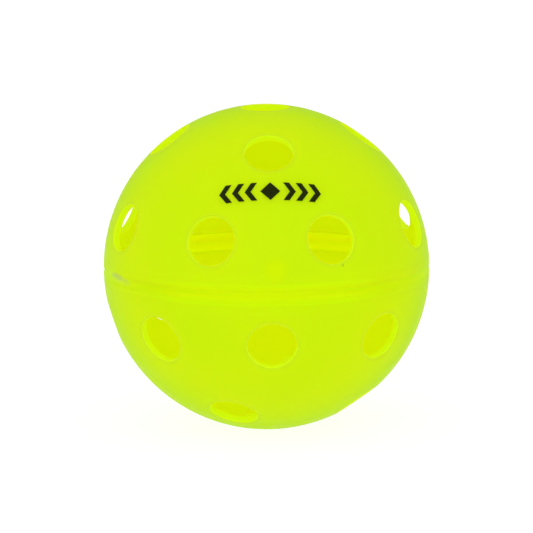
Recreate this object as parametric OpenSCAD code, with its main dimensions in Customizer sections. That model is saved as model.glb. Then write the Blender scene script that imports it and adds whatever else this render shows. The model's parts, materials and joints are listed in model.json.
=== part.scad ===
// Pickleball for indoor play: a hollow ball moulded as two perforated half shells,
// which are welded together round the equator, with a small mark printed on the front.
//
// The origin is the centre of the ball. +Z is the pole axis, towards the upper half,
// and the printed mark faces -Y. An azimuth is counted from -Y towards +X.

/* [Ball] */
// Outside diameter of the ball
ball_d = 74; // [72:0.5:76]
// Thickness of the wall
wall = 1.7; // [1.4:0.1:2.2]

/* [Holes] */
// Diameter of every hole
hole_d = 11; // [9:0.25:11.5]
// Latitude of the ring of four holes
four_ring_lat = 53.8; // [52.8:0.2:54.8]
// Latitude of the ring of eight holes
eight_ring_lat = 18.6; // [17.6:0.2:19.6]
// How far the edges of a hole are broken
hole_break = 0.2; // [0.1:0.05:0.5]
// Turn of the lower half against the upper half
half_turn = 22.5; // [0:0.5:45]

/* [Seam] */
// Height of the thick rim inside each half
rim_h = 2.1; // [1.7:0.1:2.5]
// How far the rim stands in from the wall
rim_proud = 1.1; // [0.8:0.1:1.5]
// Depth of the V-groove round the outside
groove_depth = 0.3; // [0.1:0.05:0.4]
// Height of the V-groove, over both halves
groove_h = 1.4; // [1:0.1:2]
// Width of the tongue on the lower rim
tongue_w = 0.9; // [0.6:0.1:1]
// Height of the tongue
tongue_h = 0.8; // [0.5:0.1:1]
// Thickness of the melt between the two halves
melt = 0.15; // [0.1:0.05:0.2]
// Radius of the bead of melt inside the ball
bead_r = 0.3; // [0.2:0.05:0.6]

/* [Mark] */
// Latitude of the middle of the mark
mark_lat = 37; // [36:0.5:38]
// Height of the mark
mark_h = 4.4; // [3:0.2:4.6]
// Number of chevrons on each side of the diamond
chevrons = 3; // [1:1:3]
// Distance from one chevron to the next
chevron_pitch = 2.8; // [2.2:0.1:3]
// Width of a printed line, along the row
line_w = 1.3; // [0.8:0.1:1.6]
// Thickness of the ink
ink = 0.04; // [0.02:0.01:0.08]

/* [Hidden] */
$fn = 128;
ball_r = ball_d / 2;
cavity_r = ball_r - wall;
rim_r = cavity_r - rim_proud;
hole_r = hole_d / 2;
// Where the bare wall of a hole would meet the outside and the inside of the shell
hole_top = sqrt(pow(ball_r, 2) - pow(hole_r, 2));
hole_foot = sqrt(pow(cavity_r, 2) - pow(hole_r, 2));
// How far a cutter runs past the surface that it cuts
over = 2;
tongue_r = (rim_r + ball_r - groove_depth) / 2;
// Slope of the mark's slanted lines, and half the width of its diamond
chevron_depth = mark_h / 3;
diamond_w = mark_h / 2;

// Turns a shape from the +Z axis to a latitude and an azimuth on the ball
module on_ball(latitude, azimuth) {
    rotate([0, 0, azimuth])
        rotate([90 - latitude, 0, 0])
            children();
}

// Cutter for one hole up the +Z axis, flared by hole_break at both of its edges
module hole() {
    flare = hole_r + over;
    rotate_extrude()
        polygon([
            [0, hole_foot + hole_break - over],
            [flare, hole_foot + hole_break - over],
            [hole_r, hole_foot + hole_break],
            [hole_r, hole_top - hole_break],
            [flare, hole_top - hole_break + over],
            [0, hole_top - hole_break + over]
        ]);
}

// A ring of holes at one latitude, the first of them at the azimuth start
module ring_of_holes(count, latitude, start) {
    for (i = [0:count - 1])
        on_ball(latitude, start + i * 360 / count)
            hole();
}

// All the holes of one half: the pole, a ring of four and a ring of eight
module holes_of_half() {
    hole();
    ring_of_holes(4, four_ring_lat, 0);
    ring_of_holes(8, eight_ring_lat, 360 / 16);
}

// Section of the V-groove at the equator, as wide above the seam as below it
module groove_section() {
    polygon([
        [ball_r - groove_depth, 0],
        [ball_r + groove_depth, groove_h],
        [ball_r + groove_depth, -groove_h]
    ]);
}

// Section of the hollow inside one half: a dome, and the narrower mouth at its rim
module cavity_section() {
    intersection() {
        circle(r = cavity_r);
        translate([-ball_r, rim_h])
            square([ball_d, ball_d]);
    }
    translate([-ball_r, -over])
        square([ball_r + rim_r, over + rim_h + wall / 2]);
}

// Section of one half shell, with its rim on the plane of the seam
module shell_section() {
    difference() {
        intersection() {
            circle(r = ball_r);
            translate([0, melt / 2])
                square([ball_d, ball_d]);
        }
        cavity_section();
        groove_section();
    }
}

// Section of a band on the tongue's centre line, from z = low to z = high
module tongue_section(width, low, high) {
    translate([tongue_r - width / 2, low])
        square([width, high - low]);
}

// Upper half shell, with a groove in its rim for the tongue
module upper_shell() {
    color([0.80, 0.94, 0.07])
        difference() {
            rotate_extrude()
                difference() {
                    shell_section();
                    tongue_section(tongue_w + 2 * melt, -melt, tongue_h + melt / 2);
                }
            holes_of_half();
        }
}

// Lower half shell, turned over, with a tongue on its rim
module lower_shell() {
    color([0.78, 0.93, 0.05])
        rotate([0, 0, -half_turn])
            mirror([0, 0, 1])
                difference() {
                    rotate_extrude() {
                        shell_section();
                        tongue_section(tongue_w, melt / 2 - tongue_h, melt);
                    }
                    holes_of_half();
                }
}

// Ring of melt between the rims and round the tongue, with a bead on the inside
module weld_bead() {
    color([0.70, 0.86, 0.04])
        rotate_extrude()
            difference() {
                union() {
                    translate([rim_r - bead_r / 2, -melt / 2])
                        square([ball_r - rim_r + bead_r / 2, melt]);
                    tongue_section(tongue_w + 2 * melt, -melt / 2, tongue_h + melt / 2);
                    difference() {
                        translate([rim_r, 0])
                            circle(r = bead_r);
                        translate([rim_r, -ball_r])
                            square([ball_r, ball_d]);
                    }
                }
                tongue_section(tongue_w, -over * melt, tongue_h - melt / 2);
                groove_section();
            }
}

// Outline of one chevron that points to +X, with the corner of its inner side at x
module chevron(x) {
    polygon([
        [x, 0],
        [x - chevron_depth, mark_h / 2],
        [x - chevron_depth + line_w, mark_h / 2],
        [x + line_w, 0],
        [x - chevron_depth + line_w, -mark_h / 2],
        [x - chevron_depth, -mark_h / 2]
    ]);
}

// Outline of the mark: a diamond between two rows of chevrons
module mark_outline() {
    polygon([
        [diamond_w, 0],
        [0, mark_h / 2],
        [-diamond_w, 0],
        [0, -mark_h / 2]
    ]);
    for (side = [0, 1])
        mirror([side, 0])
            for (i = [1:chevrons])
                chevron(diamond_w + i * chevron_pitch - line_w / 2);
}

// Printed mark: a film of ink on the outside of the upper half
module printed_mark() {
    color([0.16, 0.20, 0.10])
        intersection() {
            on_ball(mark_lat, 0)
                translate([0, 0, ball_r / 2])
                    linear_extrude(height = ball_r)
                        mark_outline();
            difference() {
                sphere(r = ball_r + ink);
                sphere(r = ball_r);
            }
        }
}

upper_shell();
lower_shell();
weld_bead();
printed_mark();
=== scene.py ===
"""A pickleball of translucent neon plastic: its looks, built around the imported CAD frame.

All sizes are in metres. The ball's centre is the origin, +Z is the pole axis of the upper half,
and the printed mark faces -Y. Latitudes and azimuths are in degrees, azimuths from -Y to +X.
"""

import json
import math
from types import SimpleNamespace

import bmesh
import bpy
from mathutils import Matrix, Quaternion, Vector


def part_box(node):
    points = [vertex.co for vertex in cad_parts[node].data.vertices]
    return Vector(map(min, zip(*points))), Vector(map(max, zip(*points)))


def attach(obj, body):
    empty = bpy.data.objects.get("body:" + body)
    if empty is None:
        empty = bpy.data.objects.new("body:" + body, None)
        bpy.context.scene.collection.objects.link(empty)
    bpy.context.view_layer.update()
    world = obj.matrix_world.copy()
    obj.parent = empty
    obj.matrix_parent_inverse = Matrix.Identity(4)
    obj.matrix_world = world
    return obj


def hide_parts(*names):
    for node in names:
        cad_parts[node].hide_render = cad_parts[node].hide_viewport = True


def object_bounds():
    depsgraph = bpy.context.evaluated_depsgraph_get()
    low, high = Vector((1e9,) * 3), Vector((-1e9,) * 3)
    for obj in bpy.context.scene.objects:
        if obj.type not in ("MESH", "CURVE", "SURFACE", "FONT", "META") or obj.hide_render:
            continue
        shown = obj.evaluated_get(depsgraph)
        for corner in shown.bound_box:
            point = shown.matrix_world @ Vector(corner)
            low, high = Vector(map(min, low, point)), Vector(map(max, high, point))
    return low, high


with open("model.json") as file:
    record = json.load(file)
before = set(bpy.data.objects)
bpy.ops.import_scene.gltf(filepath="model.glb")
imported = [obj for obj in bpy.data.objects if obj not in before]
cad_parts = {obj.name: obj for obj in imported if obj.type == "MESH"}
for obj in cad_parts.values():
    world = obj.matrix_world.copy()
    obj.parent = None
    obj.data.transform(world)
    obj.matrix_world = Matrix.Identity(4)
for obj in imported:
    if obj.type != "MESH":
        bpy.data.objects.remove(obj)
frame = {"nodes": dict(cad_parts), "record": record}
cad_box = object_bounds()

MM = 0.001

# ---------------------------------------------------------------- driving values: shapes

# The hole pattern of one half: how many holes, at which latitude, from which azimuth
RINGS = ((1, 90.0, 0.0), (4, 53.8, 0.0), (8, 18.6, 22.5))
LOWER_TURN = -22.5  # the lower half's pattern is turned by this about the pole axis

# Places where the CAD nodes are measured
CLEAR_LATITUDE, CLEAR_AZIMUTH = 36.0, 45.0  # a place on the upper half that is far from any hole
BAND_LEVEL = 1.5 * MM  # a level between the seam and the ledge of the rim
DOME_LEVEL = 5.0 * MM  # a level above the ledge
SNAP = MM / 40  # lengths read from flat facets are brought to this grid

# Roundings that the CAD part has only as small chamfers or corners
HOLE_FILLET = 0.2 * MM
LEDGE_FILLET = 0.3 * MM

# The bead of melt is smaller than the CAD bead by up to twice this share of its radius
BEAD_UNEVEN = 0.12
BEAD_WAVES = ((5, 0.4), (11, 2.1), (23, 4.0), (41, 1.3))  # waves round the ball: how many, shifted by
CLEAR = 0.005 * MM  # the melt stands off the rims by this

# Mesh density
SEAM_COLUMNS = 192  # columns of faces round the equator
CELL_STEP = math.tau / SEAM_COLUMNS  # arc between points on the edge of a hole's cell
OUTER_ROWS = 11  # rows of faces from the edge of a cell to the edge of its hole, outside
INNER_ROWS = 8  # the same, inside
ROW_SPREAD = 1.2  # over 1, rows crowd together towards the hole
FILLET_ROWS = 5  # on each rounded edge
WALL_ROWS = 3  # on the straight wall of a hole
FLANK_ROWS = 3  # on the V-groove's flank, and on the band inside
BEAD_ROWS = 10  # round the half circle of the bead
SEAM_BLEND = math.radians(8.0)  # rows below this latitude close up to make room for the seam
MERGE = 0.001 * MM  # points closer than this count as one
SHARP_ANGLE = math.radians(35.0)  # faces that meet at more than this have a sharp edge
GAP = "gap"  # mesh attribute: distance from the edge of the nearest hole, negative down its wall
FAR = 20 * MM  # the gap of points that belong to no hole

# ---------------------------------------------------------------- driving values: the plastic

# Linear colours: the usual tone, and the deeper one of the clouds in it
OUTSIDE = (0.655, 0.87, 0.003)
OUTSIDE_DEEP = (0.625, 0.86, 0.003)
# Inside: brighter and yellower than outside, painted light for the light that reaches the cavity through the
# walls; the usual tone and the deeper one of the clouds
INSIDE = (0.90, 0.95, 0.003)
INSIDE_DEEP = (0.87, 0.94, 0.003)
# Walls of the holes, near the outside and deep in the hole, brighter than the plastic round them as painted
# light for the light that leaves the cut wall; and the pale halo round a hole, a painted sheen on its
# rounded edge
HOLE_WALL = (0.64, 0.91, 0.010)
WALL_DEEP = (0.73, 0.95, 0.004)
HALO_SHEEN = (0.53, 0.77, 0.014)
# The seam, brighter than the plastic round it as painted light: outside, outside where the ball turns away,
# inside, and the melt between the halves
SEAM_OUTSIDE = (0.635, 1.0, 0.0)
SEAM_TURNED = (0.575, 1.0, 0.0)
SEAM_INSIDE = (0.91, 1.0, 0.0)
MELT_OUTSIDE = (0.71, 1.0, 0.0)
# Painted shade at the outline, darker and cooler: where it starts, where it is full, as facing from 0 to 1,
# and its tint
EDGE = (0.4, 0.9)
OUTLINE_SHADE = (0.82, 0.96, 1.0)
# Marks on the plastic, two of them painted shade and one painted light: latitude, azimuth, width, height,
# softness, colour
SPOTS = (
    (1.0, -67.0, 6.5 * MM, 1.7 * MM, 0.45, (0.52, 0.69, 0.07)),  # painted shade at the left end of the seam
    (0.3, -60.5, 3.0 * MM, 1.3 * MM, 0.55, (0.54, 0.74, 0.04)),  # its tail
    (9.4, 25.6, 0.35 * MM, 0.6 * MM, 0.5, (0.40, 0.54, 0.02)),  # dark speck by the right front hole
    (9.0, 1.3, 4.2 * MM, 4.0 * MM, 0.7, (0.68, 0.89, 0.0)),  # painted light between the front holes, where a back hole shows through the wall
)

# Light that wanders under the surface: reach in red, green and blue, in units of the scale
SCATTER = (1.0, 1.3, 0.3)
SCATTER_SCALE = 3.0 * MM
SEAM_SCATTER = 0.3 * MM  # the scale at the seam, so that the groove stays crisp
SEAM_REACH = 0.6 * MM  # it grows to the full scale over this height

# Surface
SHEEN_IOR = 1.09  # low, for a weak and soft reflection
ROUGHNESS = (0.36, 0.46)  # it varies between these
GRAIN_DEPTH = 0.004 * MM  # of the fine grain in the moulded surface
MELT_ROUGHNESS = 0.5
STREAKS = 0.15  # most of the outside's colour that streaks the melt

# Noise: scale per metre and detail, and one roughness for all of them
CLOUD_NOISE = (32.0, 1.0)
ROUGH_NOISE = (350.0, 3.0)
GRAIN_NOISE = (2500.0, 2.0)
STREAK_NOISE = (700.0, 3.0)
INK_NOISE = (3000.0, 3.0)
PAPER_NOISE = (900.0, 3.0)
NOISE_ROUGHNESS = 0.55
# The stretch of a noise that is spread over a mask: clouds, roughness and paper, then streaks, then ink
NOISE_SPAN = (0.3, 0.7)
STREAK_SPAN = (0.35, 0.65)
INK_SPAN = (0.35, 0.7)

# Stretches of the wall's thickness, from 0 inside to 1 outside, over which each mask rises
OUT_SHARE = (0.55, 0.75)  # the outside's colour
WALL_SHARE = (0.05, 0.4)  # the colour of the walls of the holes
DEEP_SHARE = (0.1, 0.9)  # from WALL_DEEP to HOLE_WALL

# Masks round a hole
BORE_START = (0.95, 0.4)  # shares of the fillet's depth between which the wall of a hole starts
HALO, HALO_START, HALO_WIDTH = 0.3, 0.1 * MM, 1.3 * MM  # the pale halo, a painted sheen on the rounded edge of a hole
LIP, LIP_WIDTH = 0.45, 0.4 * MM  # a stronger part of it at the very edge

# Masks at the seam, on the outside, for the painted light over the thick rims and round the groove
THICK_START = 0.65  # share of the rim's height up to which the thick rims show fully
THICK_EDGE = (2.6 * MM, 2.9 * MM)  # height at which they stop showing, below and above the seam
THICK_TAIL, TAIL_REACH = 0.3, 6.0 * MM  # share of it that fades out further on
SEAM_FADE = (0.08, 0.35)  # facing over which the seam changes from its front look to its side look
SEAM_SHOW = (0.8, 0.3)  # how much of the thick rims shows, in front and at the sides
LINE_REACH = 1.2 * MM  # height of the line round the groove
GROOVE_EDGE = (0.02 * MM, 0.01 * MM)  # depth below the mating edge over which it starts
FLANK_SOFT = 0.2 * MM  # softness of the shading across the groove's lip

# Masks at the seam, on the inside, for the painted light on the band and over its upper ledge
RIM_SOFT = 0.05 * MM  # softness of the rim's colour at the ledge
BAND_SOFT = (1.1 * MM, 0.4 * MM)  # the band's mask fades from this far below the ledge to above it
BAND_DEPTH = (0.1 * MM, 0.15 * MM)  # and over this depth behind its face
SHADE_SOFT = (0.4 * MM, 0.1 * MM)  # the glow over the ledge rises between these depths below it
SHADE_REACH = 0.9 * MM  # and fades out over this height above it

# Emission: the even part stands for the fluorescence of the plastic and lifts its shade as painted light;
# the added parts are painted light at the holes and the seam
GLOW = 0.042  # everywhere
WALL_GLOW = 0.06  # painted light added on the walls of the holes
BAND_GLOW = (0.15, 0.235)  # painted light on the band inside, on the lower half and on the upper half
BAND_TURN = 0.1 * MM  # one changes into the other from this far below the seam to this far above it
SHADE_GLOW = 0.055  # painted light that fills the shadow just over the upper ledge
THICK_GLOW = (0.08, 0.15)  # painted light outside over the thick rims, below and above the seam
THICK_TURN = 0.3 * MM  # the upper value is reached this far below the seam
LINE_GLOW = (0.20, 0.205)  # painted light in the line round the groove, which hides its shade, in front and at the sides
LINE_BELOW, LINE_TURN = 0.75, 0.5 * MM  # share of it below the seam, reached this far from the seam
BEAD_GLOW = 0.13  # painted light on the melt, inside
MELT_GLOW = 0.08  # painted light on the melt, outside
INSIDE_MELT = (0.05 * MM, 0.1 * MM)  # depth behind the band's face over which the inside melt ends
OUTSIDE_MELT = (0.06 * MM, 0.05 * MM)  # depth below the mating edge over which the outside melt starts

# ---------------------------------------------------------------- driving values: ink and stage

INK = (0.010, 0.017, 0.0)
INK_WORN = (0.022, 0.030, 0.0)  # in its pinholes
INK_ROUGHNESS, INK_IOR = 0.5, 1.15

PAPER_ROUGHNESS = 0.9
PAPER_FIBRE = 0.97  # share of the shade below that the darkest fibres keep
FLOOR_SIZE = 8.0
FLOOR_SHADE = 0.25  # how much of the ball's own light the paper returns
FLOOR_GLOW = 0.86  # the paper's own light, as the camera sees it
FLOOR_CAST = 0.62  # and as the ball receives it
TENT_FRONT = (-0.1, -1.0, -0.2)  # the tent is brightest towards this side
TENT_LEVELS = (1.13, 0.47)  # its strength there and opposite

CAMERA_AZIMUTH, CAMERA_ELEVATION, CAMERA_ROLL = -1.9, 10.3, -0.5
CAMERA_RADII = 30  # distance from the ball's centre, in radii of the ball
BALL_SHARE = 0.611  # the ball's share of the picture's width
SENSOR_WIDTH = 36.0  # in millimetres, as Blender counts it
CLIP = (0.05, 50.0)  # nearest and furthest distance that the camera sees
BOUNCES, SOFT_BOUNCES = 24, 16  # light that wanders through the walls needs many


def toward(latitude, azimuth):
    """Unit vector from the ball's centre to a place on it."""
    lat, az = math.radians(latitude), math.radians(azimuth)
    return Vector((math.cos(lat) * math.sin(az), -math.cos(lat) * math.cos(az), math.sin(lat)))


def mix(a, b, share):
    """A value between a, at share 0, and b, at share 1."""
    return a + (b - a) * share


# ---------------------------------------------------------------- sizes, from the frame


def ray(node, start, direction):
    """Point where a ray first meets a CAD node."""
    hit, point, _, _ = frame["nodes"][node].ray_cast(Vector(start), Vector(direction))
    if not hit:
        raise ValueError(f"a ray misses {node}")
    return point


def off_axis(point):
    """Distance of a point from the pole axis."""
    return math.hypot(point.x, point.y)


def snap(length):
    """A length read from the CAD node's flat facets, brought to the grid of the size it stands for."""
    return round(length / SNAP) * SNAP


def frame_sizes():
    """The ball's sizes, measured on the CAD nodes."""
    shell = [v.co for v in frame["nodes"]["upper_shell"].data.vertices]
    front = (0, -1, 0)
    back = (0, 1, 0)
    down = (0, 0, -1)
    ball_r = max(p.length for p in shell)
    mate_z = min(p.z for p in shell)
    rim_r = snap(off_axis(ray("upper_shell", (0, 0, BAND_LEVEL), front)))
    cavity_r = snap(ray("upper_shell", (0, 0, 0), toward(CLEAR_LATITUDE, CLEAR_AZIMUTH)).length)
    over_ledge = (0, -mix(rim_r, cavity_r, 0.5), DOME_LEVEL)
    tongue_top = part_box("lower_shell")[1].z
    half_tongue = tongue_top / 2
    return {
        "ball_r": ball_r,
        "cavity_r": cavity_r,
        "hole_r": frame["record"]["mounts"][0]["dims"]["r_mm"] * MM,
        "rim_r": rim_r,
        "rim_h": snap(ray("upper_shell", over_ledge, down).z),
        "lip_z": min(p.z for p in shell if p.length > ball_r - MERGE),
        "mate_z": mate_z,
        "mate_r": max(off_axis(p) for p in shell if p.z < mate_z + MERGE),
        "tongue_in": snap(off_axis(ray("lower_shell", (0, 0, half_tongue), front))),
        "tongue_out": snap(off_axis(ray("lower_shell", (0, -ball_r, half_tongue), back))),
        "tongue_top": tongue_top,
        "groove_top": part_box("weld_bead")[1].z,
        "bead_r": -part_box("weld_bead")[0].z,
    }


S = frame_sizes()
MELT = 2 * S["mate_z"]  # thickness of the melt between the halves
LIP_R = math.sqrt(S["ball_r"] ** 2 - S["lip_z"] ** 2)  # radius of the groove's lip

# ---------------------------------------------------------------- mesh helpers


class Skin:
    """Points and faces that are gathered up and then made into one mesh."""

    def __init__(self):
        self.points = []
        self.gaps = []
        self.faces = []

    def grid(self, rows, gaps=None):
        """Quads over rows of points, with the last point of each row joined to the first.
        gaps gives each point's distance from the nearest hole's edge, and is far without it."""
        first = len(self.points)
        wide = len(rows[0])
        for r, row in enumerate(rows):
            self.points.extend(row)
            self.gaps.extend(gaps[r] if gaps else [FAR] * wide)
        for r in range(len(rows) - 1):
            here, above = first + r * wide, first + (r + 1) * wide
            for c in range(wide):
                d = (c + 1) % wide
                self.faces.append((here + c, here + d, above + d, above + c))

    def build(self, name):
        """One object with merged vertices and outward normals, sharp where faces meet steeply."""
        mesh = bpy.data.meshes.new(name)
        mesh.from_pydata([tuple(p) for p in self.points], [], self.faces)
        mesh.attributes.new(GAP, "FLOAT", "POINT").data.foreach_set("value", self.gaps)
        work = bmesh.new()
        work.from_mesh(mesh)
        bmesh.ops.remove_doubles(work, verts=work.verts, dist=MERGE)
        bmesh.ops.recalc_face_normals(work, faces=work.faces)
        work.to_mesh(mesh)
        work.free()
        mesh.shade_smooth()
        mesh.set_sharp_from_angle(angle=SHARP_ANGLE)
        obj = bpy.data.objects.new(name, mesh)
        bpy.context.scene.collection.objects.link(obj)
        return obj


def on_circle(r, z, angle):
    """A point at a radius and a level, at an angle about the pole axis."""
    return Vector((r * math.sin(angle), -r * math.cos(angle), z))


def arc(centre, radius, start, end, rows):
    """Points of an arc in a section, with angles counted from the second axis towards the first."""
    angles = [mix(start, end, i / rows) for i in range(rows + 1)]
    return [(centre[0] + radius * math.sin(a), centre[1] + radius * math.cos(a)) for a in angles]


# ---------------------------------------------------------------- half shells


def hole_axes():
    """Unit vectors through the holes of one half."""
    axes = []
    for count, latitude, start in RINGS:
        axes.extend(toward(latitude, start + 360.0 * i / count) for i in range(count))
    return axes


def clip(polygon, normal):
    """The part of a polygon on the side of a plane through the origin that normal points to."""
    kept = []
    for a, b in zip(polygon, polygon[1:] + polygon[:1]):
        da, db = a.dot(normal), b.dot(normal)
        if da >= 0:
            kept.append(a)
        if (da >= 0) != (db >= 0):
            kept.append(a.lerp(b, da / (da - db)))
    return kept


def cell_corners(axis, axes, side, up):
    """Corners of a hole's cell: the part of the half that is nearer to this hole than to any other."""
    reach = 3.0  # the start is a square on the tangent plane, wider than any cell
    near = 1.5  # holes further apart than this have no common edge
    same = math.radians(0.01)  # corners closer than this are one
    square = ((-reach, -reach), (reach, -reach), (reach, reach), (-reach, reach))
    polygon = [axis + side * x + up * y for x, y in square]
    polygon = clip(polygon, Vector((0, 0, 1)))
    for other in axes:
        if 0 < (axis - other).length < near:
            polygon = clip(polygon, axis - other)
    corners = [p.normalized() for p in polygon]
    return [a for a, b in zip(corners, corners[1:] + corners[:1]) if a.angle(b) > same]


def cell_edge(corners):
    """Evenly spaced points along the great circles that join the corners."""
    points = []
    for a, b in zip(corners, corners[1:] + corners[:1]):
        angle = a.angle(b)
        steps = max(1, round(angle / CELL_STEP))
        for i in range(steps):
            share = i / steps
            from_a = a * math.sin((1 - share) * angle)
            from_b = b * math.sin(share * angle)
            points.append((from_a + from_b) / math.sin(angle))
    return points


def hole_section():
    """Section through the wall of a hole, from the outside to the inside, as (off the axis, along it)."""
    reach = S["hole_r"] + HOLE_FILLET
    top = math.sqrt((S["ball_r"] - HOLE_FILLET) ** 2 - reach**2)
    foot = math.sqrt((S["cavity_r"] + HOLE_FILLET) ** 2 - reach**2)
    outside, inside = math.atan2(reach, top), math.atan2(reach, foot)
    section = arc((reach, top), HOLE_FILLET, outside, -math.pi / 2, FILLET_ROWS)
    section += [(S["hole_r"], mix(top, foot, i / WALL_ROWS)) for i in range(1, WALL_ROWS)]
    section += arc((reach, foot), HOLE_FILLET, -math.pi / 2, inside - math.pi, FILLET_ROWS)
    return section, outside, inside


def make_room(direction, edge_latitude):
    """Moves a direction near the equator up, so that the equator itself comes to edge_latitude."""
    latitude = math.asin(max(-1.0, min(1.0, direction.z)))
    if latitude >= SEAM_BLEND:
        return direction
    raised = edge_latitude + latitude * (1 - edge_latitude / SEAM_BLEND)
    level = math.hypot(direction.x, direction.y)
    scale = math.cos(raised) / level
    return Vector((direction.x * scale, direction.y * scale, math.sin(raised)))


def unwrap(angles):
    """The same angles, each within half a turn of the one before it."""
    result = [angles[0]]
    for a in angles[1:]:
        result.append(a + math.tau * round((result[-1] - a) / math.tau))
    return result


def cell_fan(axis, axes, side, up):
    """For each point on a cell's edge: its angle from the axis, its angle about the axis, and the angle
    about the axis that it would have if the points were evenly spread."""
    edge = cell_edge(cell_corners(axis, axes, side, up))
    count = len(edge)
    reach = [axis.angle(p) for p in edge]
    turn = unwrap([math.atan2(p.dot(up), p.dot(side)) for p in edge])
    way = math.copysign(math.tau, turn[-1] - turn[0])
    start = sum(t - way * j / count for j, t in enumerate(turn)) / count
    even = [start + way * j / count for j in range(count)]
    return reach, turn, even


def add_cell(skin, axis, axes):
    """One hole, with its wall and the outside and inside of the shell round it, as one closed grid."""
    side = axis.orthogonal().normalized()
    up = axis.cross(side)
    reach, turn, even = cell_fan(axis, axes, side, up)
    section, outside, inside = hole_section()
    outer_edge = math.asin(S["lip_z"] / S["ball_r"])
    inner_edge = math.asin(S["rim_h"] / S["cavity_r"])

    def spoke(angle):
        """Unit vector away from the hole's axis."""
        return side * math.cos(angle) + up * math.sin(angle)

    def surface_row(share, hole_angle, radius, edge_latitude):
        """Points between the hole, at share 0, and the edge of the cell, at share 1."""
        row, row_gaps = [], []
        for edge_tilt, edge_spin, hole_spin in zip(reach, turn, even):
            tilt = mix(hole_angle, edge_tilt, share**ROW_SPREAD)
            spin = mix(hole_spin, edge_spin, share)
            direction = axis * math.cos(tilt) + spoke(spin) * math.sin(tilt)
            row.append(make_room(direction, edge_latitude) * radius)
            row_gaps.append((tilt - hole_angle) * radius)
        return row, row_gaps

    rows = []
    for k in range(OUTER_ROWS):
        rows.append(surface_row(1 - k / OUTER_ROWS, outside, S["ball_r"], outer_edge))
    for off, along in section:
        points = [axis * along + spoke(angle) * off for angle in even]
        rows.append((points, [off - S["hole_r"] - HOLE_FILLET] * len(even)))
    for k in range(1, INNER_ROWS + 1):
        rows.append(surface_row(k / INNER_ROWS, inside, S["cavity_r"], inner_edge))
    skin.grid([row for row, _ in rows], [row_gaps for _, row_gaps in rows])


def joint_section(tongued):
    """Section of the mating face of a rim, from the outside inwards, with its tongue or its groove."""
    mate = S["mate_z"]
    if tongued:
        far, near, end = S["tongue_out"], S["tongue_in"], -S["tongue_top"]
    else:
        far, near, end = S["tongue_out"] + MELT, S["tongue_in"] - MELT, S["groove_top"]
    return [(S["mate_r"], mate), (far, mate), (far, end), (near, end), (near, mate), (S["rim_r"], mate)]


def rim_section(tongued):
    """Section of a half's rim: the V-groove's flank, the mating face, the thick band and its ledge."""
    ledge_r = math.sqrt(S["cavity_r"] ** 2 - S["rim_h"] ** 2)
    corner = (S["rim_r"] + LEDGE_FILLET, S["rim_h"] - LEDGE_FILLET)
    shares = [i / FLANK_ROWS for i in range(FLANK_ROWS)]
    flank = [(mix(LIP_R, S["mate_r"], s), mix(S["lip_z"], S["mate_z"], s)) for s in shares]
    band = [(S["rim_r"], mix(S["mate_z"], corner[1], s)) for s in shares[1:]]
    ledge = arc(corner, LEDGE_FILLET, -math.pi / 2, 0, FILLET_ROWS)
    return flank + joint_section(tongued) + band + ledge + [(ledge_r, S["rim_h"])]


def half_shell(name, tongued):
    """The upper half shell with all its holes and its rim, which has a tongue or a groove."""
    skin = Skin()
    axes = hole_axes()
    for axis in axes:
        add_cell(skin, axis, axes)
    angles = [math.tau * c / SEAM_COLUMNS for c in range(SEAM_COLUMNS)]
    skin.grid([[on_circle(r, z, a) for a in angles] for r, z in rim_section(tongued)])
    return skin.build(name)


def turn_over(piece):
    """Mirrors an upper half to the lower side and turns its pattern about the pole axis."""
    mirror = Matrix.Scale(-1, 4, (0, 0, 1))
    piece.data.transform(Matrix.Rotation(math.radians(LOWER_TURN), 4, "Z") @ mirror)
    piece.data.flip_normals()


# ---------------------------------------------------------------- weld bead


def wobble(angle, waves):
    """A smooth closed curve of unevenness round the ball, between about -1 and 1."""
    return sum(math.sin(angle * count + shift) for count, shift in waves) / len(waves)


def bead_section(angle):
    """Closed section of the melt at one place on the seam: bead, layer and channel round the tongue."""
    mate = S["mate_z"] - CLEAR
    inner, outer = S["tongue_in"] - CLEAR, S["tongue_out"] + CLEAR
    channel_in, channel_out = inner - MELT + 2 * CLEAR, outer + MELT - 2 * CLEAR
    bridge, channel = S["tongue_top"] + CLEAR, S["groove_top"] - CLEAR
    notch = S["mate_r"] - (LIP_R - S["mate_r"]) * mate / (S["lip_z"] - mate)
    radius = S["bead_r"] * (1 - BEAD_UNEVEN * (1 + wobble(angle, BEAD_WAVES)))
    section = arc((S["rim_r"] - CLEAR, 0), radius, 0, -math.pi, BEAD_ROWS)
    section += [(S["rim_r"], -mate), (inner, -mate), (inner, bridge), (outer, bridge)]
    section += [(outer, -mate), (S["mate_r"], -mate), (notch, 0), (S["mate_r"], mate)]
    section += [(channel_out, mate), (channel_out, channel)]
    section += [(channel_in, channel), (channel_in, mate), (S["rim_r"], mate)]
    return section


def weld_ring(name):
    """The ring of melt between the two halves."""
    skin = Skin()
    angles = [math.tau * c / SEAM_COLUMNS for c in range(SEAM_COLUMNS + 1)]
    skin.grid([[on_circle(r, z, a) for r, z in bead_section(a)] for a in angles])
    return skin.build(name)


# ---------------------------------------------------------------- material helpers


def rgba(r, g, b):
    """A linear colour with full alpha."""
    return (r, g, b, 1.0)


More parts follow.
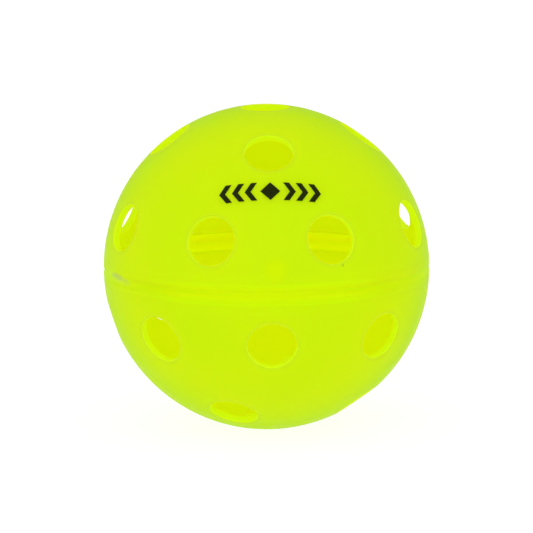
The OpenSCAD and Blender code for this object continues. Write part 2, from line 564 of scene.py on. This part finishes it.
class Nodes:
    """Short calls for building a material's node tree."""

    def __init__(self, name):
        self.material = bpy.data.materials.new(name)
        self.material.use_nodes = True
        self.tree = self.material.node_tree
        self.tree.nodes.clear()

    def add(self, kind, settings=None, **inputs):
        """Adds a node, sets its properties and its inputs: a value, or an output to link."""
        node = self.tree.nodes.new(kind)
        for key, value in (settings or {}).items():
            setattr(node, key, value)
        for key, value in inputs.items():
            self.plug(node.inputs[key.replace("_", " ")], value)
        return node

    def plug(self, socket, value):
        """Sets a socket's value, or links an output into it."""
        if isinstance(value, bpy.types.NodeSocket):
            self.tree.links.new(value, socket)
        else:
            socket.default_value = value

    def object_place(self):
        """The shaded point in the ball's frame."""
        return self.add("ShaderNodeTexCoord").outputs["Object"]

    def math(self, operation, a, b=0.0):
        """A math node's output."""
        node = self.add("ShaderNodeMath", {"operation": operation})
        self.plug(node.inputs[0], a)
        self.plug(node.inputs[1], b)
        return node.outputs[0]

    def times(self, a, b):
        """The product of two numbers."""
        return self.math("MULTIPLY", a, b)

    def plus(self, a, b):
        """The sum of two numbers."""
        return self.math("ADD", a, b)

    def ramp(self, value, low, high, to_low=0.0, to_high=1.0):
        """Maps a value smoothly from low..high to to_low..to_high."""
        node = self.add("ShaderNodeMapRange", {"interpolation_type": "SMOOTHSTEP"}, Value=value)
        self.plug(node.inputs["From Min"], low)
        self.plug(node.inputs["From Max"], high)
        self.plug(node.inputs["To Min"], to_low)
        self.plug(node.inputs["To Max"], to_high)
        return node.outputs["Result"]

    def noise(self, scale, detail):
        """Noise in the ball's frame; scale counts per metre."""
        node = self.add("ShaderNodeTexNoise", Vector=self.object_place(), Scale=scale)
        self.plug(node.inputs["Detail"], detail)
        self.plug(node.inputs["Roughness"], NOISE_ROUGHNESS)
        return node.outputs["Fac"]

    def mix_value(self, share, a, b):
        """A number between a and b."""
        node = self.add("ShaderNodeMix", {"data_type": "FLOAT", "clamp_factor": True})
        self.plug(node.inputs[0], share)
        self.plug(node.inputs[2], a)
        self.plug(node.inputs[3], b)
        return node.outputs[0]

    def mix(self, share, a, b, blend="MIX"):
        """A mixed colour; a colour given as numbers has three of them."""
        node = self.add("ShaderNodeMix", {"data_type": "RGBA", "blend_type": blend, "clamp_factor": True})
        self.plug(node.inputs[0], share)
        self.plug(node.inputs[6], rgba(*a) if isinstance(a, tuple) else a)
        self.plug(node.inputs[7], rgba(*b) if isinstance(b, tuple) else b)
        return node.outputs[2]

    def vector(self, operation, a, b=(0.0, 0.0, 0.0), output="Vector"):
        """A vector math node's output."""
        node = self.add("ShaderNodeVectorMath", {"operation": operation})
        self.plug(node.inputs[0], a)
        self.plug(node.inputs[1], b)
        return node.outputs[output]

    def dot(self, a, b):
        """The dot product of two vectors."""
        return self.vector("DOT_PRODUCT", a, b, "Value")

    def length(self, a):
        """The length of a vector."""
        return self.vector("LENGTH", a, output="Value")

    def bend(self, share, normal, other):
        """A normal that leans from one direction to another."""
        node = self.add("ShaderNodeMix", {"data_type": "VECTOR", "clamp_factor": True})
        self.plug(node.inputs[0], share)
        self.plug(node.inputs[4], normal)
        self.plug(node.inputs[5], other)
        return self.vector("NORMALIZE", node.outputs[1])

    def spot(self, place, latitude, azimuth, across, up, soft):
        """A soft-edged oval round a place on the ball: 1 in the middle, 0 outside it and on the far side."""
        centre = toward(latitude, azimuth)
        east = Vector((0, 0, 1)).cross(centre).normalized()
        north = centre.cross(east)
        offset = self.vector("SUBTRACT", place, centre * S["ball_r"])
        legs = []
        for direction, half in ((east, across / 2), (north, up / 2)):
            leg = self.dot(offset, direction / half)
            legs.append(self.times(leg, leg))
        span = self.math("SQRT", self.plus(*legs))
        oval = self.ramp(span, 1.0 - soft, 1.0 + soft, 1.0, 0.0)
        near_side = self.ramp(self.dot(place, centre), 0.0, S["ball_r"] / 2)
        return self.times(oval, near_side)

    def bump(self, height, depth, normal):
        """A bump of the given depth, in metres, from a height of 0 to 1, on a surface with this normal."""
        node = self.add("ShaderNodeBump", Height=height, Distance=depth, Strength=1.0, Normal=normal)
        return node.outputs["Normal"]

    def surface(self, **inputs):
        """Makes the shader, links it to the material's output and returns the material."""
        shader = self.add("ShaderNodeBsdfPrincipled", **inputs)
        out = self.add("ShaderNodeOutputMaterial")
        self.tree.links.new(shader.outputs[0], out.inputs["Surface"])
        return self.material


# ---------------------------------------------------------------- the shells' plastic


def through_wall(share):
    """Radius at a share of the way from the inside of the wall to its outside."""
    return mix(S["cavity_r"], S["ball_r"], share)


def shell_places(n):
    """Where a point of a shell lies: its place, and numbers that the masks are made from."""
    place = n.object_place()
    level = n.add("ShaderNodeSeparateXYZ", Vector=place).outputs["Z"]
    return SimpleNamespace(
        place=place,
        radius=n.length(place),
        level=level,
        height=n.math("ABSOLUTE", level),
        gap=n.add("ShaderNodeAttribute", {"attribute_name": GAP}).outputs["Fac"],
        facing=n.add("ShaderNodeLayerWeight", Blend=0.5).outputs["Facing"],
    )


def add_wall_masks(n, at):
    """Masks over the thickness of the wall and round the holes."""
    at.out = n.ramp(at.radius, through_wall(OUT_SHARE[0]), through_wall(OUT_SHARE[1]))
    at.wall = n.ramp(at.radius, through_wall(WALL_SHARE[0]), through_wall(WALL_SHARE[1]))
    at.deep = n.ramp(at.radius, through_wall(DEEP_SHARE[0]), through_wall(DEEP_SHARE[1]))
    at.bore = n.ramp(at.gap, -BORE_START[0] * HOLE_FILLET, -BORE_START[1] * HOLE_FILLET, 1.0, 0.0)
    # the painted sheen round a hole
    halo = n.ramp(at.gap, HALO_START, HALO_WIDTH, HALO, 0.0)
    at.halo = n.plus(halo, n.ramp(at.gap, 0.0, LIP_WIDTH, LIP, 0.0))


def add_thick_mask(n, at):
    """Mask of the painted light over the thick rims: the brighter band where they show through the outside.
    """
    edge = n.ramp(at.level, -S["rim_h"], S["rim_h"], THICK_EDGE[0], THICK_EDGE[1])
    start = THICK_START * S["rim_h"]
    thick = n.ramp(at.height, start, edge, 1.0 - THICK_TAIL, 0.0)
    thick = n.plus(thick, n.ramp(at.height, start, TAIL_REACH, THICK_TAIL, 0.0))
    at.thick = n.times(thick, n.ramp(at.facing, *SEAM_FADE, *SEAM_SHOW))


def add_seam_masks(n, at):
    """Masks of the painted light on the band inside, over the shadow of its upper ledge, and round the
    groove outside.
    """
    ledge = S["rim_h"]
    at.rim = n.ramp(at.height, ledge - RIM_SOFT, ledge + RIM_SOFT, 1.0, 0.0)
    band = n.ramp(at.height, ledge - BAND_SOFT[0], ledge + BAND_SOFT[1], 1.0, 0.0)
    face = n.ramp(at.radius, S["rim_r"] + BAND_DEPTH[0], S["rim_r"] + BAND_DEPTH[1], 1.0, 0.0)
    at.band = n.times(band, face)
    # painted light over the shadow of the upper ledge
    shade = n.ramp(at.level, ledge, ledge + SHADE_REACH, 1.0, 0.0)
    shade = n.times(shade, n.ramp(at.level, ledge - SHADE_SOFT[0], ledge - SHADE_SOFT[1]))
    at.shade = n.times(shade, n.math("SUBTRACT", 1.0, at.wall))
    groove = n.ramp(at.radius, S["mate_r"] - GROOVE_EDGE[0], S["mate_r"] - GROOVE_EDGE[1])
    line = n.ramp(at.height, 0.0, LINE_REACH, 1.0, 0.0)
    at.line = n.times(line, n.plus(groove, at.band))
    flank = n.ramp(at.height, S["lip_z"], S["lip_z"] + FLANK_SOFT, 1.0, 0.0)
    at.flank = n.times(flank, groove)


def shell_color(n, at):
    """Colour of a shell: greener outside; yellower and brighter inside and brightest on the walls of the
    holes, both painted light for the light that comes through the plastic.
    """
    cloud = n.ramp(n.noise(*CLOUD_NOISE), *NOISE_SPAN)
    skin = n.mix(cloud, OUTSIDE, OUTSIDE_DEEP)
    # painted sheen round each hole
    skin = n.mix(at.halo, skin, HALO_SHEEN)
    # painted light: the brighter band over the thick rims
    skin = n.mix(at.thick, skin, SEAM_OUTSIDE)
    # painted light: the line round the groove, greener where the ball turns away
    skin = n.mix(n.times(at.line, n.ramp(at.facing, *SEAM_FADE)), skin, SEAM_TURNED)
    for *oval, color in SPOTS:
        skin = n.mix(n.spot(at.place, *oval), skin, color)
    # painted shade darkens the outline
    skin = n.mix(n.ramp(at.facing, *EDGE), skin, n.mix(1.0, skin, OUTLINE_SHADE, "MULTIPLY"))
    # painted light: the inside brighter and yellower than the outside
    cavity = n.mix(cloud, INSIDE, INSIDE_DEEP)
    # painted light: the band inside brighter than the cavity
    cavity = n.mix(at.rim, cavity, SEAM_INSIDE)
    body = n.mix(at.out, n.mix(at.wall, cavity, HOLE_WALL), skin)
    # painted light: the walls of the holes brighter than the plastic round them
    return n.mix(at.bore, body, n.mix(at.deep, WALL_DEEP, HOLE_WALL))


def shell_glow(n, at):
    """Strength of a shell's emission: fluorescence and painted light everywhere, and more painted light on
    the walls of the holes and along the seam.
    """
    band = n.ramp(at.level, -BAND_TURN, BAND_TURN, *BAND_GLOW)
    line = n.ramp(at.facing, *SEAM_FADE, *LINE_GLOW)
    line = n.times(line, n.ramp(at.level, -LINE_TURN, LINE_TURN, LINE_BELOW, 1.0))
    thick = n.ramp(at.level, -S["rim_h"], -THICK_TURN, *THICK_GLOW)
    glow = n.plus(GLOW, n.times(at.band, band))
    glow = n.plus(glow, n.times(at.line, line))
    glow = n.plus(glow, n.times(at.shade, SHADE_GLOW))
    glow = n.plus(glow, n.times(at.bore, WALL_GLOW))
    return n.plus(glow, n.times(n.times(at.thick, at.out), thick))


def shell_plastic():
    """Translucent neon polyethylene, with a fine grain, and with light and shade painted into its colour and
    emission.
    """
    n = Nodes("neon_polyethylene")
    at = shell_places(n)
    add_wall_masks(n, at)
    add_thick_mask(n, at)
    add_seam_masks(n, at)
    body = shell_color(n, at)
    normal = n.add("ShaderNodeNewGeometry").outputs["Normal"]
    normal = n.bend(at.flank, normal, n.vector("NORMALIZE", at.place))
    full_scale = S["mate_z"] + SEAM_REACH
    return n.surface(
        Base_Color=body,
        Roughness=n.ramp(n.noise(*ROUGH_NOISE), *NOISE_SPAN, *ROUGHNESS),
        IOR=SHEEN_IOR,
        Subsurface_Weight=1.0,
        Subsurface_Radius=SCATTER,
        Subsurface_Scale=n.ramp(at.height, S["mate_z"], full_scale, SEAM_SCATTER, SCATTER_SCALE),
        Emission_Color=body,
        Emission_Strength=shell_glow(n, at),
        Normal=n.bump(n.noise(*GRAIN_NOISE), GRAIN_DEPTH, normal),
    )


# ---------------------------------------------------------------- the other materials


def weld_plastic():
    """The melt at the seam: the same plastic, brightened with painted light so that it is flush with the
    rims in colour and in shading.
    """
    n = Nodes("neon_weld_melt")
    place = n.object_place()
    radius = n.length(place)
    inside = n.ramp(radius, S["rim_r"] + INSIDE_MELT[0], S["rim_r"] + INSIDE_MELT[1], 1.0, 0.0)
    outside = n.ramp(radius, S["mate_r"] - OUTSIDE_MELT[0], S["mate_r"] - OUTSIDE_MELT[1])
    streak = n.ramp(n.noise(*STREAK_NOISE), *STREAK_SPAN, 0.0, STREAKS)
    # painted light: the melt as bright as the band and the groove line
    body = n.mix(inside, MELT_OUTSIDE, SEAM_INSIDE)
    body = n.mix(streak, body, OUTSIDE)
    away = n.vector("NORMALIZE", place)
    glow = n.plus(n.times(inside, BEAD_GLOW), n.times(outside, MELT_GLOW))
    return n.surface(
        Base_Color=body,
        Roughness=MELT_ROUGHNESS,
        IOR=SHEEN_IOR,
        Emission_Color=body,
        Emission_Strength=n.plus(glow, GLOW),
        Normal=n.bend(inside, away, n.vector("MULTIPLY", away, (-1.0, -1.0, -1.0))),
    )


def mark_ink():
    """Dark pad-printed ink with fine pinholes."""
    n = Nodes("printed_ink")
    mottle = n.ramp(n.noise(*INK_NOISE), *INK_SPAN)
    return n.surface(Base_Color=n.mix(mottle, INK, INK_WORN), Roughness=INK_ROUGHNESS, IOR=INK_IOR)


def studio_floor():
    """Pale seamless paper, lit so evenly that the camera sees it almost white under the ball."""
    n = Nodes("studio_paper")
    fibre = n.ramp(n.noise(*PAPER_NOISE), *NOISE_SPAN, PAPER_FIBRE, 1.0)
    seen = n.add("ShaderNodeLightPath").outputs["Is Camera Ray"]
    return n.surface(
        Base_Color=n.mix(fibre, (0.0, 0.0, 0.0), (FLOOR_SHADE, FLOOR_SHADE, FLOOR_SHADE)),
        Roughness=PAPER_ROUGHNESS,
        Specular_IOR_Level=0.0,
        Emission_Color=rgba(1.0, 1.0, 1.0),
        Emission_Strength=n.mix_value(seen, FLOOR_CAST, FLOOR_GLOW),
    )


# ---------------------------------------------------------------- stage


def floor_plane():
    """A floor that touches the ball's lowest point."""
    half, level = FLOOR_SIZE / 2, cad_box[0].z
    corners = [(-half, -half, level), (half, -half, level), (half, half, level), (-half, half, level)]
    mesh = bpy.data.meshes.new("floor")
    mesh.from_pydata(corners, [], [(0, 1, 2, 3)])
    obj = bpy.data.objects.new("floor", mesh)
    obj.data.materials.append(studio_floor())
    bpy.context.scene.collection.objects.link(obj)


def light_tent():
    """A white surround that is brightest on the camera's side and a little below, and dimmest behind."""
    world = bpy.data.worlds.new("light_tent")
    world.use_nodes = True
    tree = world.node_tree
    sky = tree.nodes["Background"]
    place = tree.nodes.new("ShaderNodeTexCoord")
    facing = tree.nodes.new("ShaderNodeVectorMath")
    facing.operation = "DOT_PRODUCT"
    facing.inputs[1].default_value = Vector(TENT_FRONT).normalized()
    level = tree.nodes.new("ShaderNodeMapRange")
    level.inputs["From Min"].default_value = -1.0
    level.inputs["To Min"].default_value = TENT_LEVELS[1]
    level.inputs["To Max"].default_value = TENT_LEVELS[0]
    tree.links.new(place.outputs["Generated"], facing.inputs[0])
    tree.links.new(facing.outputs["Value"], level.inputs["Value"])
    tree.links.new(level.outputs["Result"], sky.inputs["Strength"])
    sky.inputs["Color"].default_value = rgba(1.0, 1.0, 1.0)
    bpy.context.scene.world = world


def add_camera():
    """A camera that looks at the ball's centre, with the ball at its share of the picture's width."""
    data = bpy.data.cameras.new("camera")
    obj = bpy.data.objects.new("camera", data)
    bpy.context.scene.collection.objects.link(obj)
    back = toward(CAMERA_ELEVATION, CAMERA_AZIMUTH)
    roll = Quaternion((0, 0, 1), math.radians(CAMERA_ROLL))
    distance = CAMERA_RADII * S["ball_r"]
    obj.location = back * distance
    obj.rotation_mode = "QUATERNION"
    obj.rotation_quaternion = (-back).to_track_quat("-Z", "Y") @ roll
    half_angle = math.asin(S["ball_r"] / distance)
    data.sensor_width = SENSOR_WIDTH
    data.lens = data.sensor_width * BALL_SHARE / (2 * math.tan(half_angle))
    data.clip_start, data.clip_end = CLIP
    bpy.context.scene.camera = obj


# ---------------------------------------------------------------- the ball and its scene


def finish_piece(piece, material, node):
    """Gives a piece its material, puts it under the root body and hides the CAD node that it stands for."""
    piece.data.materials.append(material)
    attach(piece, "root")
    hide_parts(node)


upper = half_shell("upper_shell_moulding", tongued=False)
lower = half_shell("lower_shell_moulding", tongued=True)
turn_over(lower)
bead = weld_ring("weld_bead_melt")
plastic = shell_plastic()
finish_piece(upper, plastic, "upper_shell")
finish_piece(lower, plastic, "lower_shell")
finish_piece(bead, weld_plastic(), "weld_bead")

mark = frame["nodes"]["printed_mark"]
mark.data.materials.clear()
mark.data.materials.append(mark_ink())

floor_plane()
light_tent()
add_camera()

scene = bpy.context.scene
scene.view_settings.view_transform = "Standard"
scene.cycles.use_denoising = True
scene.cycles.max_bounces = BOUNCES
scene.cycles.diffuse_bounces = SOFT_BOUNCES
